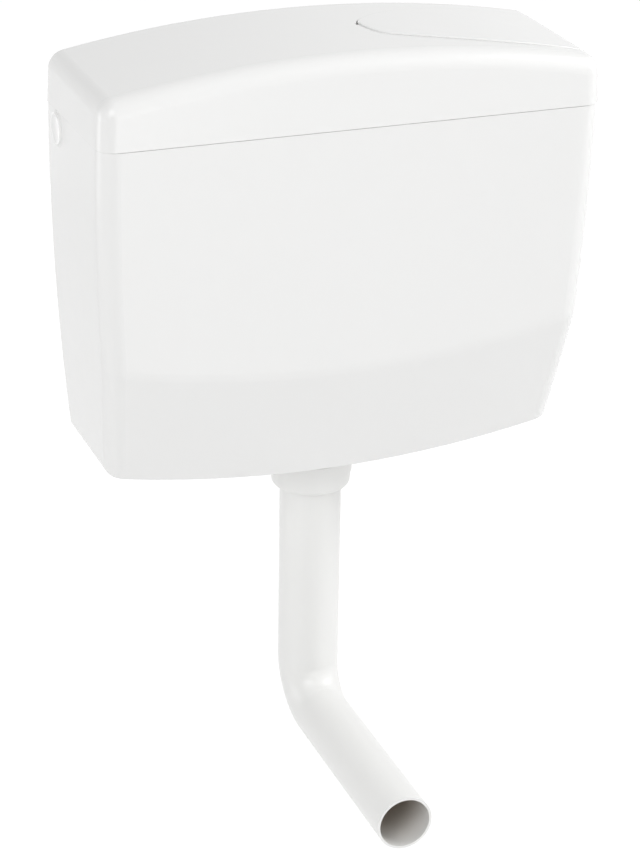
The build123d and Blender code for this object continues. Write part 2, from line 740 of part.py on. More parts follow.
def inlet_pieces():
    nut_bore = inlet_thread_radius + thread_gap
    washer = ring(nut_bore, inlet_washer_radius, washer_inner_x, inlet_inner_x)
    plug_nut_x = washer_inner_x - plug_nut_thickness
    flange = rod(plug_flange_radius, inlet_seat_x, inlet_seat_x + plug_flange_thickness)
    flange = chamfer(flange.edges().sort_by(Axis.Z)[-1:], plug_edge_bevel)
    face_x = inlet_seat_x + plug_flange_thickness
    flange -= rod(plug_recess_radius, face_x - plug_recess_depth, face_x)
    plug = flange + rod(inlet_thread_radius, plug_nut_x - plug_thread_beyond_nut, inlet_seat_x)
    plug_nut = hex_ring(nut_bore, inlet_nut_flats, plug_nut_x, washer_inner_x)
    lock_nut = hex_ring(nut_bore, inlet_nut_flats, inlet_seat_x, nut_outer_x)
    strainer_end_x = tail_end_x - strainer_length
    strainer = ring(strainer_radius - strainer_wall, strainer_radius, strainer_end_x, tail_end_x)
    strainer += rod(strainer_radius, strainer_end_x, strainer_end_x + strainer_wall)
    strainer += ring(strainer_radius - strainer_wall, strainer_flange_radius,
                     tail_end_x, tail_end_x + strainer_flange_thickness)
    return {"blanking_plug": left_inlet * plug, "blanking_plug_washer": left_inlet * washer,
            "blanking_plug_nut": left_inlet * plug_nut, "inlet_washer": right_inlet * washer,
            "inlet_lock_nut": right_inlet * lock_nut, "inlet_strainer": right_inlet * strainer}


def make_fill_valve():
    body = rod(inlet_thread_radius, valve_neck_x, tail_end_x)
    runout_radius = inlet_thread_radius - inlet_runout_depth
    body -= ring(runout_radius, inlet_hole_radius, nut_outer_x + contact_gap,
                 nut_outer_x + contact_gap + inlet_runout_width)
    body += rod(inlet_washer_radius, valve_neck_x, washer_inner_x)
    body += rod(valve_neck_radius, valve_head_x, valve_neck_x)
    body += rod(valve_head_radius, valve_face_x, valve_head_x)
    cavity_end_x = valve_face_x + valve_cavity_depth
    body -= ring(valve_nozzle_radius, valve_cavity_radius, valve_face_x, cavity_end_x)
    body -= rod(valve_nozzle_bore, valve_face_x, valve_head_x)
    body -= rod(inlet_bore_radius, cavity_end_x + inlet_runout_width, tail_end_x)
    body = right_inlet * body
    boss_top_z = inlet_z - valve_cavity_radius - inlet_runout_width
    drop = Pos(discharge_x, inlet_y, 0)
    body += drop * rod(outlet_boss_radius, spigot_top_z, boss_top_z)
    body += drop * rod(outlet_spigot_radius, spigot_top_z - outlet_spigot_length, spigot_top_z)
    return body - drop * rod(outlet_bore_radius, spigot_top_z - outlet_spigot_length,
                             inlet_z - valve_nozzle_radius - inlet_runout_width)


def fill_valve_pieces():
    diaphragm = rod(diaphragm_radius, cap_wall_x, valve_face_x)
    cap = ring(valve_head_radius + thread_gap, cap_radius, cap_wall_x, valve_face_x + cap_grip)
    cap += ring(plunger_radius + slide_gap, cap_radius, cap_end_x, cap_wall_x)
    cap = right_inlet * cap
    ear_gap = arm_width / 2 + contact_gap
    ear_x = (arm_pin_x - 2 * arm_pin_radius, cap_end_x)
    ear_z = (arm_pin_z - arm_ear_below_pin, inlet_z + arm_ear_above_inlet)
    for y in (inlet_y - ear_gap - ear_thickness, inlet_y + ear_gap):
        ear = block(ear_x, (y, y + ear_thickness), ear_z)
        cap += ear - across(arm_pin_x, y, arm_pin_z) * rod(arm_pin_radius, 0, ear_thickness)
    plunger = right_inlet * rod(plunger_radius, cap_end_x - plunger_beyond_cap, cap_wall_x - contact_gap)
    pin_y = inlet_y - arm_pin_length / 2
    arm_pin = across(arm_pin_x, pin_y, arm_pin_z) * rod(arm_pin_radius, 0, arm_pin_length)
    tube_top_z = spigot_top_z - contact_gap
    tube = ring(discharge_bore_radius, discharge_radius, tube_top_z - discharge_length, tube_top_z)
    return {"valve_diaphragm": right_inlet * diaphragm, "valve_cap": cap, "valve_plunger": plunger,
            "float_arm_pin": arm_pin, "discharge_tube": Pos(discharge_x, inlet_y, 0) * tube}


def float_pieces():
    arm_z = around(arm_pin_z, arm_thickness)
    hub = across(arm_pin_x, inlet_y - arm_width / 2, arm_pin_z)
    nose_x = cap_end_x - plunger_beyond_cap - contact_gap - arm_nose_radius
    arm = hub * rod(arm_hub_radius, 0, arm_width)
    arm += block((float_x, arm_pin_x), around(inlet_y, arm_width), arm_z)
    arm += block(around(float_x, arm_width), (float_y, inlet_y + arm_width / 2), arm_z)
    arm += block((arm_pin_x, nose_x), around(inlet_y, arm_width), (arm_pin_z, inlet_z + arm_nose_radius))
    arm += across(nose_x, inlet_y - arm_width / 2, inlet_z) * rod(arm_nose_radius, 0, arm_width)
    arm -= hub * rod(arm_pin_radius + slide_gap, 0, arm_width)
    at_float = Pos(float_x, float_y, 0)
    arm += at_float * rod(float_boss_radius, *arm_z)
    arm -= at_float * rod(float_screw_radius + slide_gap, *arm_z)
    top_z = -float_below_wall_holes
    body = rod(float_radius, top_z - float_height, top_z)
    body = chamfer(body.edges().filter_by(GeomType.CIRCLE), float_edge_bevel)
    body -= rod(float_screw_radius, top_z - float_screw_grip, top_z)
    nut_top_z = arm_z[1] + float_nut_height
    nut = ring(float_screw_radius + thread_gap, float_nut_radius, arm_z[1], nut_top_z)
    screw = rod(float_screw_radius, top_z - float_screw_grip, nut_top_z + float_screw_beyond_nut)
    return {"float_arm": arm, "float": at_float * body, "float_screw": at_float * screw,
            "float_screw_nut": at_float * nut}


def all_pieces():
    pieces = {"tank": make_tank(), "lid": make_lid(), "flush_button": make_button()}
    pin_y = outlet_y - pin_length / 2
    hinge_pin_length = button_lug_width + 2 * (contact_gap + ear_thickness)
    hinge_y = button_hinge_y - hinge_pin_length / 2
    pieces["button_pin"] = across(button_hinge_x, hinge_y, button_hinge_z) * rod(
        button_pin_radius, 0, hinge_pin_length)
    pieces["lever_pin"] = across(pivot_x, pin_y, pivot_z) * rod(pin_radius, 0, pin_length)
    pieces["lever_bridge"] = make_bridge()
    pieces["rocker_lever"] = make_lever()
    pieces["valve_cage"] = make_cage()
    pieces["outlet_union_nut"] = make_union_nut()
    pieces["flush_bend"] = make_flush_bend()
    pieces["fill_valve_body"] = make_fill_valve()
    for group in (outlet_pieces, flush_valve_pieces, push_pieces, inlet_pieces, fill_valve_pieces,
                  float_pieces):
        pieces.update(group())
    return pieces


os.makedirs("parts", exist_ok=True)
for name, piece in all_pieces().items():
    export_step(piece, "parts/" + name + ".step")
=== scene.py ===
import math

import bmesh
import bpy
from mathutils import Matrix, Vector


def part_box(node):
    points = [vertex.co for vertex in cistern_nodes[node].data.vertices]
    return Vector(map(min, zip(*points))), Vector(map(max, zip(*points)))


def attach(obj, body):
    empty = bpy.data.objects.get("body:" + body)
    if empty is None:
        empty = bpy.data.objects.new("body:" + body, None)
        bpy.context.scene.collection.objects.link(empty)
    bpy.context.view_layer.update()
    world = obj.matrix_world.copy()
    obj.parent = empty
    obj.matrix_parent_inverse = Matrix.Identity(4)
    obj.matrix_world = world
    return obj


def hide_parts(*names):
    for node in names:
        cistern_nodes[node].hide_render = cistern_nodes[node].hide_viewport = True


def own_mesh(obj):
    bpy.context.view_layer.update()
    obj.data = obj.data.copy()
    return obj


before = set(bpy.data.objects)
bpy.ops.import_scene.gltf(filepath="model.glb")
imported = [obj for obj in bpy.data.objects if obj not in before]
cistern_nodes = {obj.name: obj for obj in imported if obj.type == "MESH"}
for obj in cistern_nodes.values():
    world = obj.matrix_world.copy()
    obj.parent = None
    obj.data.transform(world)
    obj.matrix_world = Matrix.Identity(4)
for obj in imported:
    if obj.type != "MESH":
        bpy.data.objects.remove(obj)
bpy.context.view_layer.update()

# Tank
# Injection moulded shell of gloss white plastic, hung on the wall by the two holes in its back.
# Its skin has the faint ripple of a polished mould and hardly any change of tone.
tone_drift = 0.007
polish_drift = 0.05


def moulded_plastic(name, colour, roughness, ripple, ripple_scale):
    plastic = bpy.data.materials.new(name)
    plastic.use_nodes = True
    nodes, links = plastic.node_tree.nodes, plastic.node_tree.links
    shader = nodes["Principled BSDF"]
    shader.inputs["IOR"].default_value = 1.49
    place = nodes.new("ShaderNodeTexCoord")
    flow = nodes.new("ShaderNodeTexNoise")
    flow.inputs["Scale"].default_value = 5
    flow.inputs["Detail"].default_value = 1
    tone = nodes.new("ShaderNodeMix")
    tone.data_type = "RGBA"
    tone.inputs["A"].default_value = (*[share * (1 - tone_drift) for share in colour], 1)
    tone.inputs["B"].default_value = (*[share * (1 + tone_drift) for share in colour], 1)
    handling = nodes.new("ShaderNodeTexNoise")
    handling.inputs["Scale"].default_value = 22
    handling.inputs["Detail"].default_value = 4
    polish = nodes.new("ShaderNodeMapRange")
    polish.inputs["To Min"].default_value = roughness - polish_drift
    polish.inputs["To Max"].default_value = roughness + polish_drift
    skin = nodes.new("ShaderNodeTexNoise")
    skin.inputs["Scale"].default_value = ripple_scale
    skin.inputs["Detail"].default_value = 2
    bump = nodes.new("ShaderNodeBump")
    bump.inputs["Strength"].default_value = ripple
    bump.inputs["Distance"].default_value = 0.0001
    for noise in (flow, handling, skin):
        links.new(place.outputs["Object"], noise.inputs["Vector"])
    links.new(flow.outputs["Fac"], tone.inputs["Factor"])
    links.new(tone.outputs["Result"], shader.inputs["Base Color"])
    links.new(handling.outputs["Fac"], polish.inputs["Value"])
    links.new(polish.outputs["Result"], shader.inputs["Roughness"])
    links.new(skin.outputs["Fac"], bump.inputs["Height"])
    links.new(bump.outputs["Normal"], shader.inputs["Normal"])
    return plastic


def dress(finish, *names):
    for name in names:
        for place in cistern_nodes[name].material_slots:
            place.material = finish


gloss_white = moulded_plastic("gloss_white_plastic", (0.875, 0.875, 0.868), 0.24, 0.1, 160)
dress(gloss_white, "tank")

# Outlet seat with its gasket, lock nut and pipe seal
# Satin white moulded outlet, clamped through the tank floor by a hexagon nut below it, with a black
# rubber gasket above the floor and a rubber washer under the tail. The tail has a coarse thread.
bloom_tone = 0.035
rounded_from = math.radians(50)
smooth_below = math.radians(35)
thread_root_depth = 0.2
thread_crest_from, thread_crest_to, thread_foot = 0.32, 0.45, 0.77


def matt_black(name, colour, grain_scale):
    black = bpy.data.materials.new(name)
    black.use_nodes = True
    nodes, links = black.node_tree.nodes, black.node_tree.links
    shader = nodes["Principled BSDF"]
    shader.inputs["Specular IOR Level"].default_value = 0.35
    place = nodes.new("ShaderNodeTexCoord")
    bloom = nodes.new("ShaderNodeTexNoise")
    bloom.inputs["Scale"].default_value = 60
    bloom.inputs["Detail"].default_value = 5
    tone = nodes.new("ShaderNodeValToRGB")
    tone.color_ramp.elements[0].color = (*colour, 1)
    tone.color_ramp.elements[1].color = (*[share + bloom_tone for share in colour], 1)
    wear = nodes.new("ShaderNodeMapRange")
    wear.inputs["To Min"].default_value = 0.55
    wear.inputs["To Max"].default_value = 0.8
    grain = nodes.new("ShaderNodeTexNoise")
    grain.inputs["Scale"].default_value = grain_scale
    grain.inputs["Detail"].default_value = 3
    bump = nodes.new("ShaderNodeBump")
    bump.inputs["Strength"].default_value = 0.4
    bump.inputs["Distance"].default_value = 0.0001
    for noise in (bloom, grain):
        links.new(place.outputs["Object"], noise.inputs["Vector"])
    links.new(bloom.outputs["Fac"], tone.inputs["Fac"])
    links.new(tone.outputs["Color"], shader.inputs["Base Color"])
    links.new(bloom.outputs["Fac"], wear.inputs["Value"])
    links.new(wear.outputs["Result"], shader.inputs["Roughness"])
    links.new(grain.outputs["Fac"], bump.inputs["Height"])
    links.new(bump.outputs["Normal"], shader.inputs["Normal"])
    return black


def turn_section(section, steps, closed):
    """Turns a half section, in millimetres out from and up the local axis, into a round body."""
    body = bmesh.new()
    points = [body.verts.new((out, 0, up)) for out, up in section]
    runs = list(zip(points, points[1:]))
    if closed:
        runs.append((points[-1], points[0]))
    edges = [body.edges.new(run) for run in runs]
    bmesh.ops.spin(body, geom=points + edges, cent=(0, 0, 0), axis=(0, 0, 1),
                   angle=2 * math.pi, steps=steps, use_merge=True)
    bmesh.ops.remove_doubles(body, verts=body.verts, dist=0.001)
    bmesh.ops.recalc_face_normals(body, faces=body.faces)
    return body


def ease_edges(body, width):
    sharp = [edge for edge in body.edges if edge.calc_face_angle(0) > rounded_from]
    bmesh.ops.bevel(body, geom=sharp, offset=width, offset_type="OFFSET", segments=2,
                    profile=0.5, affect="EDGES", material=-1, clamp_overlap=True)


def add_body(body, extra):
    """Puts a second closed body into the first one's mesh."""
    shape = bpy.data.meshes.new("extra")
    extra.to_mesh(shape)
    extra.free()
    body.from_mesh(shape)
    bpy.data.meshes.remove(shape)


def cut_thread(body, root, crest, low, high, pitch, steps):
    """Winds one thread ridge round the local axis from low to high."""
    thread = bmesh.new()
    inner = root - thread_root_depth
    ridge = [(inner, low), (crest, low + thread_crest_from * pitch),
             (crest, low + thread_crest_to * pitch), (inner, low + thread_foot * pitch)]
    corners = [thread.verts.new((out, 0, up)) for out, up in ridge]
    start = thread.faces.new(corners)
    turns = (high - low) / pitch - thread_foot
    count = round(turns * steps)
    bmesh.ops.spin(thread, geom=corners + list(start.edges) + [start], cent=(0, 0, 0),
                   axis=(0, 0, 1), dvec=(0, 0, turns * pitch / count),
                   angle=turns * 2 * math.pi, steps=count)
    add_body(body, thread)


def set_piece(body, name, foot, turn, finish, rides, node):
    """Puts a body made about the local Z axis in place, in metres, to stand for the node."""
    place = Matrix.Translation(Vector(foot) * 0.001) @ turn @ Matrix.Scale(0.001, 4)
    bmesh.ops.transform(body, matrix=place, verts=body.verts)
    bmesh.ops.recalc_face_normals(body, faces=body.faces)
    shape = bpy.data.meshes.new(name)
    body.to_mesh(shape)
    body.free()
    shape.shade_smooth()
    shape.set_sharp_from_angle(angle=smooth_below)
    shape.materials.append(finish)
    piece = bpy.data.objects.new(name, shape)
    bpy.context.scene.collection.objects.link(piece)
    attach(piece, rides)
    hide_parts(node)
    return piece


satin_white = moulded_plastic("satin_white_plastic", (0.83, 0.835, 0.825), 0.36, 0.25, 420)
sealing_rubber = matt_black("sealing_rubber", (0.02, 0.02, 0.021), 900)
upright = Matrix.Identity(4)
outlet_axis = (0, -46.5, 0)
seat = turn_section(
    [(23.5, -287), (27.4, -287), (28, -286.2), (28, -259.2), (29, -258.4), (29, -255), (39, -255),
     (39, -251), (35.45, -251), (35.45, -243), (26.5, -243), (26.5, -241), (23.5, -241)], 96, True)
ease_edges(seat, 0.35)
cut_thread(seat, 28, 29, -286.2, -258.6, 3, 64)
set_piece(seat, "threaded_valve_seat", outlet_axis, upright, satin_white, "cistern",
          "valve_seat")
pipe_white = moulded_plastic("pipe_white_plastic", (0.868, 0.868, 0.855), 0.3, 0.14, 240)
dress(pipe_white, "outlet_lock_nut")
dress(sealing_rubber, "seat_gasket", "flush_pipe_seal")

# Valve cage
# Round moulded basket with six windows that stands on the seat and guides the moving tube.
dress(satin_white, "valve_cage")

# Moving overflow tube with its seal plate, flush seal and weight
# A white tube that lifts in the cage's sleeve. The plate at its foot holds a soft rubber washer,
# and a dark cast ring lies on the plate and shuts the valve.
cast_weight = matt_black("cast_weight", (0.045, 0.047, 0.05), 380)
dress(satin_white, "overflow_tube", "seal_plate")
dress(sealing_rubber, "flush_seal")
dress(cast_weight, "valve_weight")

# Lift rod and its thumb nut
# A headed white rod, threaded over its lower half, hangs in the lever's fork and goes through the
# tube's crossbar, where a ribbed thumb nut holds it.
groove_share = 0.92
outside_share = 0.9


def rib_outside(body, radius, steps):
    """Presses every other pair of outside points in, so that fine grip ribs are left."""
    for point in body.verts:
        out = math.hypot(point.co.x, point.co.y)
        turn = round(math.atan2(point.co.y, point.co.x) / (2 * math.pi) * steps) % 4
        if out > outside_share * radius and turn < 2:
            point.co.x *= groove_share
            point.co.y *= groove_share


rod = turn_section(
    [(0, -46), (1.8, -46), (2.1, -45.5), (2.1, -10.6), (2.5, -10), (2.5, 38.3), (6.3, 38.3),
     (7, 39), (7, 43.6), (6.3, 44.3), (0, 44.3)], 40, False)
cut_thread(rod, 2.1, 2.5, -45.6, -10.4, 0.8, 14)
set_piece(rod, "threaded_lift_rod", outlet_axis, upright, satin_white, "flush_valve",
          "lift_rod")
thumb_nut = turn_section(
    [(2.55, -34), (5.5, -34), (6, -33.5), (6, -29.5), (5.5, -29), (2.55, -29)], 72, True)
rib_outside(thumb_nut, 6, 72)
set_piece(thumb_nut, "ribbed_thumb_nut", outlet_axis, upright, satin_white, "flush_valve",
          "lift_rod_nut")

# Lever bridge, lever pin and rocker lever
# The white bridge lies on the tank's ledges and carries the lever on a steel pin between its lugs.


def drawn_steel(name, roughness):
    steel = bpy.data.materials.new(name)
    steel.use_nodes = True
    nodes, links = steel.node_tree.nodes, steel.node_tree.links
    shader = nodes["Principled BSDF"]
    shader.inputs["Metallic"].default_value = 1
    place = nodes.new("ShaderNodeTexCoord")
    fine = nodes.new("ShaderNodeTexNoise")
    fine.inputs["Scale"].default_value = 700
    fine.inputs["Detail"].default_value = 4
    tone = nodes.new("ShaderNodeValToRGB")
    tone.color_ramp.elements[0].color = (0.5, 0.5, 0.51, 1)
    tone.color_ramp.elements[1].color = (0.66, 0.66, 0.66, 1)
    polish = nodes.new("ShaderNodeMapRange")
    polish.inputs["To Min"].default_value = roughness - 0.1
    polish.inputs["To Max"].default_value = roughness + 0.1
    bump = nodes.new("ShaderNodeBump")
    bump.inputs["Strength"].default_value = 0.15
    bump.inputs["Distance"].default_value = 0.00005
    links.new(place.outputs["Object"], fine.inputs["Vector"])
    links.new(fine.outputs["Fac"], tone.inputs["Fac"])
    links.new(tone.outputs["Color"], shader.inputs["Base Color"])
    links.new(fine.outputs["Fac"], polish.inputs["Value"])
    links.new(polish.outputs["Result"], shader.inputs["Roughness"])
    links.new(fine.outputs["Fac"], bump.inputs["Height"])
    links.new(bump.outputs["Normal"], shader.inputs["Normal"])
    return steel


stainless = drawn_steel("stainless_steel", 0.3)
dress(satin_white, "lever_bridge", "rocker_lever")
dress(stainless, "lever_pin")

# Fill valve body with its washer, lock nut and strainer
# Grey moulded side inlet: head with the nozzle, flange against a rubber washer inside the wall,
# and a threaded tail through the wall. A hexagon nut holds it outside, and a blue strainer is
# pushed into its end.
inlet_grey = moulded_plastic("light_grey_plastic", (0.62, 0.635, 0.64), 0.38, 0.3, 420)
to_the_right = Matrix.Rotation(math.radians(90), 4, "Y")
to_the_left = Matrix.Rotation(math.radians(-90), 4, "Y")
inlet_axis = (0, -23, 11.5)
inlet_pitch = 1.337
inlet_body = turn_section(
    [(3, 160.004), (5, 160.004), (5, 178.004), (12, 178.004), (12, 160.004), (16, 160.004),
     (16, 183.004), (10, 183.004), (10, 188.804), (14, 188.804), (14, 192.304), (8.3, 192.304),
     (8.3, 197), (7.45, 197.8), (7.45, 221.1), (6.9, 221.904), (5, 221.904), (5, 179.004),
     (3, 179.004)], 64, True)
ease_edges(inlet_body, 0.3)
cut_thread(inlet_body, 7.45, 8.3, 197.4, 221.4, inlet_pitch, 40)
spigot = turn_section(
    [(4, -20), (5.4, -20), (5.9, -19.4), (5.9, -6), (7, -6), (7, -1.6), (4, -1.6)], 40, True)
bmesh.ops.translate(spigot, verts=spigot.verts, vec=(174.504, 0, -11.5))
bmesh.ops.transform(spigot, matrix=to_the_right.inverted(), verts=spigot.verts)
add_body(inlet_body, spigot)
set_piece(inlet_body, "threaded_fill_valve_body", inlet_axis, to_the_right, inlet_grey, "cistern",
          "fill_valve_body")
dress(inlet_grey, "inlet_lock_nut")
dress(sealing_rubber, "inlet_washer")
band_at_scale_one = 0.314
hole_tone = 0.25


def woven_strainer(name, colour, mesh_width):
    strainer = bpy.data.materials.new(name)
    strainer.use_nodes = True
    nodes, links = strainer.node_tree.nodes, strainer.node_tree.links
    shader = nodes["Principled BSDF"]
    shader.inputs["Roughness"].default_value = 0.45
    place = nodes.new("ShaderNodeTexCoord")
    bands = []
    for direction in ("X", "Y", "Z"):
        band = nodes.new("ShaderNodeTexWave")
        band.bands_direction = direction
        band.inputs["Scale"].default_value = band_at_scale_one / mesh_width
        links.new(place.outputs["Object"], band.inputs["Vector"])
        bands.append(band)
    pair = nodes.new("ShaderNodeMath")
    crossing = nodes.new("ShaderNodeMath")
    pair.operation = crossing.operation = "MULTIPLY"
    links.new(bands[1].outputs["Fac"], pair.inputs[0])
    links.new(bands[2].outputs["Fac"], pair.inputs[1])
    links.new(bands[0].outputs["Fac"], crossing.inputs[0])
    links.new(pair.outputs["Value"], crossing.inputs[1])
    tone = nodes.new("ShaderNodeValToRGB")
    tone.color_ramp.elements[0].color = (*[share * hole_tone for share in colour], 1)
    tone.color_ramp.elements[1].position = 0.35
    tone.color_ramp.elements[1].color = (*colour, 1)
    bump = nodes.new("ShaderNodeBump")
    bump.inputs["Strength"].default_value = 0.7
    bump.inputs["Distance"].default_value = 0.0003
    links.new(crossing.outputs["Value"], tone.inputs["Fac"])
    links.new(tone.outputs["Color"], shader.inputs["Base Color"])
    links.new(crossing.outputs["Value"], bump.inputs["Height"])
    links.new(bump.outputs["Normal"], shader.inputs["Normal"])
    return strainer


dress(woven_strainer("blue_strainer_mesh", (0.05, 0.2, 0.5), 0.0009), "inlet_strainer")

# Diaphragm, plunger and cap of the fill valve
# A rubber disc shuts the nozzle, pushed by a grey plunger that the float arm moves. The cap screws
# over the head and has two ears for the arm.
dress(sealing_rubber, "valve_diaphragm")
dress(inlet_grey, "valve_plunger", "valve_cap")

# Float arm with its pin, screw and nut, and the float
# The grey arm turns on a steel pin in the cap's ears. The float is moulded of white bead foam with
# rounded ends and the seam of its two mould halves, and hangs on a plastic screw.
gap_tone = 0.86


def bead_foam(name, colour, bead):
    foam = bpy.data.materials.new(name)
    foam.use_nodes = True
    nodes, links = foam.node_tree.nodes, foam.node_tree.links
    shader = nodes["Principled BSDF"]
    shader.inputs["Roughness"].default_value = 0.75
    place = nodes.new("ShaderNodeTexCoord")
    beads = nodes.new("ShaderNodeTexVoronoi")
    beads.inputs["Scale"].default_value = 1 / bead
    tone = nodes.new("ShaderNodeValToRGB")
    tone.color_ramp.elements[0].color = (*colour, 1)
    tone.color_ramp.elements[1].color = (*[share * gap_tone for share in colour], 1)
    tone.color_ramp.elements[0].position = 0.25
    bump = nodes.new("ShaderNodeBump")
    bump.invert = True
    bump.inputs["Strength"].default_value = 0.35
    bump.inputs["Distance"].default_value = 0.0004
    links.new(place.outputs["Object"], beads.inputs["Vector"])
    links.new(beads.outputs["Distance"], tone.inputs["Fac"])
    links.new(tone.outputs["Color"], shader.inputs["Base Color"])
    links.new(beads.outputs["Distance"], bump.inputs["Height"])
    links.new(bump.outputs["Normal"], shader.inputs["Normal"])
    return foam


white_foam = bead_foam("white_bead_foam", (0.84, 0.84, 0.82), 0.0035)
dress(inlet_grey, "float_arm")
dress(stainless, "float_arm_pin")
float_axis = (104, -72, 0)
float_body = turn_section(
    [(0, -75), (19.5, -75), (22.2, -74.2), (23.6, -72.6), (24, -70.5), (24, -48.3), (23.4, -47.9),
     (23.4, -47.1), (24, -46.7), (24, -24.5), (23.6, -22.4), (22.2, -20.8), (19.5, -20), (2.5, -20),
     (2.5, -30), (0, -30)], 72, False)
set_piece(float_body, "moulded_float", float_axis, upright, white_foam, "float",
          "float")
screw = turn_section(
    [(0, -30), (1.8, -30), (2.1, -29.6), (2.1, 13.6), (1.8, 14), (0, 14)], 32, False)
cut_thread(screw, 2.1, 2.5, -29.4, 13.4, 0.8, 14)
set_piece(screw, "threaded_float_screw", float_axis, upright, inlet_grey, "float",
          "float_screw")
float_nut = turn_section(
    [(2.55, 8), (4.6, 8), (5, 8.4), (5, 11.6), (4.6, 12), (2.55, 12)], 56, True)
rib_outside(float_nut, 5, 56)
set_piece(float_nut, "ribbed_float_nut", float_axis, upright, inlet_grey, "float",
          "float_screw_nut")

# Discharge tube
# White tube under the fill valve's outlet that leads the incoming water quietly to the tank floor.
dress(satin_white, "discharge_tube")

# Blanking plug with its washer and nut
# Gloss white plug in the unused left inlet: a thin flange with a shallow dish outside, and inside
# the wall a threaded shank with a rubber washer and a hexagon nut.
plug = turn_section(
    [(0, 185.804), (6.9, 185.804), (7.45, 186.4), (7.45, 196.6), (8.3, 197.3), (8.3, 197.804),
     (13, 197.804), (12.9, 198.2), (12.5, 198.6), (11.9, 198.85), (11.2, 198.9), (10.6, 198.8),
     (10.1, 198.62), (9.5, 198.55), (0, 198.55)], 96, False)
cut_thread(plug, 7.45, 8.3, 186.2, 196.9, inlet_pitch, 40)
set_piece(plug, "threaded_blanking_plug", inlet_axis, to_the_left, gloss_white, "cistern",
          "blanking_plug")
dress(sealing_rubber, "blanking_plug_washer")
dress(inlet_grey, "blanking_plug_nut")

# Lid
# Gloss white arched cover of the same plastic as the tank. It drops over the rim, with its tongue
# just inside the wall, and has the well for the button moulded in.
dress(gloss_white, "lid")

# Push rod and return spring
# The white rod slides in the lid's sleeve and carries the button's travel down. A steel spring of
# round wire, with a dead turn at each end, lifts rod and button again.
dress(satin_white, "push_rod")
spring_axis = (118, -46.5, 0)
spring_low, spring_high = 53.26, 65.56
spring_radius, spring_wire = 5.2, 0.5
live_turns, steps_per_turn = 3.2, 36
dead_turn_rise = 1.1
live_rise = spring_high - spring_low - 2 * dead_turn_rise
spring = bmesh.new()
bmesh.ops.create_circle(spring, cap_ends=True, radius=spring_wire, segments=14)
bmesh.ops.rotate(spring, verts=spring.verts, cent=(0, 0, 0),
                 matrix=Matrix.Rotation(math.radians(90), 3, "X"))
bmesh.ops.translate(spring, verts=spring.verts, vec=(spring_radius, 0, spring_low))
wire_end = spring.verts[:] + spring.edges[:] + spring.faces[:]
for turns, rise in ((1, dead_turn_rise), (live_turns, live_rise), (1, dead_turn_rise)):
    steps = round(steps_per_turn * turns)
    wound = bmesh.ops.spin(spring, geom=wire_end, cent=(0, 0, 0), axis=(0, 0, 1),
                           dvec=(0, 0, rise / steps), angle=turns * 2 * math.pi, steps=steps)
    wire_end = wound["geom_last"]
wound_spring = set_piece(spring, "wound_return_spring", spring_axis, upright, stainless, "lid",
                         "return_spring")
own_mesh(wound_spring)

# Flush button and its hinge pin
# Leaf-shaped gloss white plate let into the lid. It turns on a steel pin at its narrow end, where
# its nose stands a little proud of the lid and leaves a small hollow in front of it.
nose_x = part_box("flush_button")[0][0]
nose_lift, lifted_length = 0.001, 0.07
nose_trim, trimmed_length = 0.0008, 0.005
hinge_height = 0.07323
still_above_hinge, blend_height = 0.002, 0.0025
merge_distance = 0.00001
shape = cistern_nodes["flush_button"].data.copy()
shape.name = "proud_flush_button"
button = bmesh.new()
button.from_mesh(shape)
bmesh.ops.remove_doubles(button, verts=button.verts, dist=merge_distance)
for point in button.verts:
    behind = min((point.co.x - nose_x) / lifted_length, 1)
    above_hinge = point.co.z - hinge_height - still_above_hinge
    free = min(max(above_hinge / blend_height, 0), 1)
    point.co.z += nose_lift * (1 - behind) ** 2 * (1 + 2 * behind) * free
    point.co.x += nose_trim * max(1 - (point.co.x - nose_x) / trimmed_length, 0)
bmesh.ops.recalc_face_normals(button, faces=button.faces)
button.to_mesh(shape)
button.free()
shape.shade_smooth()
shape.set_sharp_from_angle(angle=smooth_below)
shape.materials.clear()
shape.materials.append(gloss_white)
proud_button = bpy.data.objects.new("proud_flush_button", shape)
bpy.context.scene.collection.objects.link(proud_button)
even_shading = proud_button.modifiers.new("even_shading", "WEIGHTED_NORMAL")
even_shading.keep_sharp = True
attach(proud_button, "button")
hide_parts("flush_button")
dress(stainless, "button_pin")

# Flush bend and union nut
# White bend of 50 mm pipe that narrows to 45 mm in its turn, pushed up against the tail and held by
# the smooth union nut over its flange. Its open end points forward, and its straight bore has
# painted
# shade: its colour turns a darker, warmer brown further in from the mouth.
dress(pipe_white, "outlet_union_nut")
leg_height = -0.496
inside_radius = 0.0207
# The painted shade of the bore starts at the mouth and is at its full from the second value inward.
mouth_y, bore_shade_full_from_y = -0.27, -0.2
straight_middle_y, straight_half = -0.17, 0.09
bend_plastic = pipe_white.copy()
bend_plastic.name = "bend_plastic_painted_bore_shade"
nodes, links = bend_plastic.node_tree.nodes, bend_plastic.node_tree.links
shader = nodes["Principled BSDF"]
outside_tone = shader.inputs["Base Color"].links[0].from_socket
place = nodes.new("ShaderNodeTexCoord")
across_leg = nodes.new("ShaderNodeVectorMath")
across_leg.operation = "MULTIPLY_ADD"
across_leg.inputs[1].default_value = (1, 0, 1)
across_leg.inputs[2].default_value = (0, 0, -leg_height)
reach = nodes.new("ShaderNodeVectorMath")
reach.operation = "LENGTH"
bore = nodes.new("ShaderNodeMath")
bore.operation = "LESS_THAN"
bore.inputs[1].default_value = inside_radius
along = nodes.new("ShaderNodeSeparateXYZ")
depth = nodes.new("ShaderNodeMapRange")
depth.interpolation_type = "SMOOTHSTEP"
depth.inputs["From Min"].default_value = mouth_y
depth.inputs["From Max"].default_value = bore_shade_full_from_y
before_turn = nodes.new("ShaderNodeMath")
before_turn.operation = "COMPARE"
before_turn.inputs[1].default_value = straight_middle_y
before_turn.inputs[2].default_value = straight_half
straight_bore = nodes.new("ShaderNodeMath")
painted_bore_shade = nodes.new("ShaderNodeMath")
straight_bore.operation = painted_bore_shade.operation = "MULTIPLY"
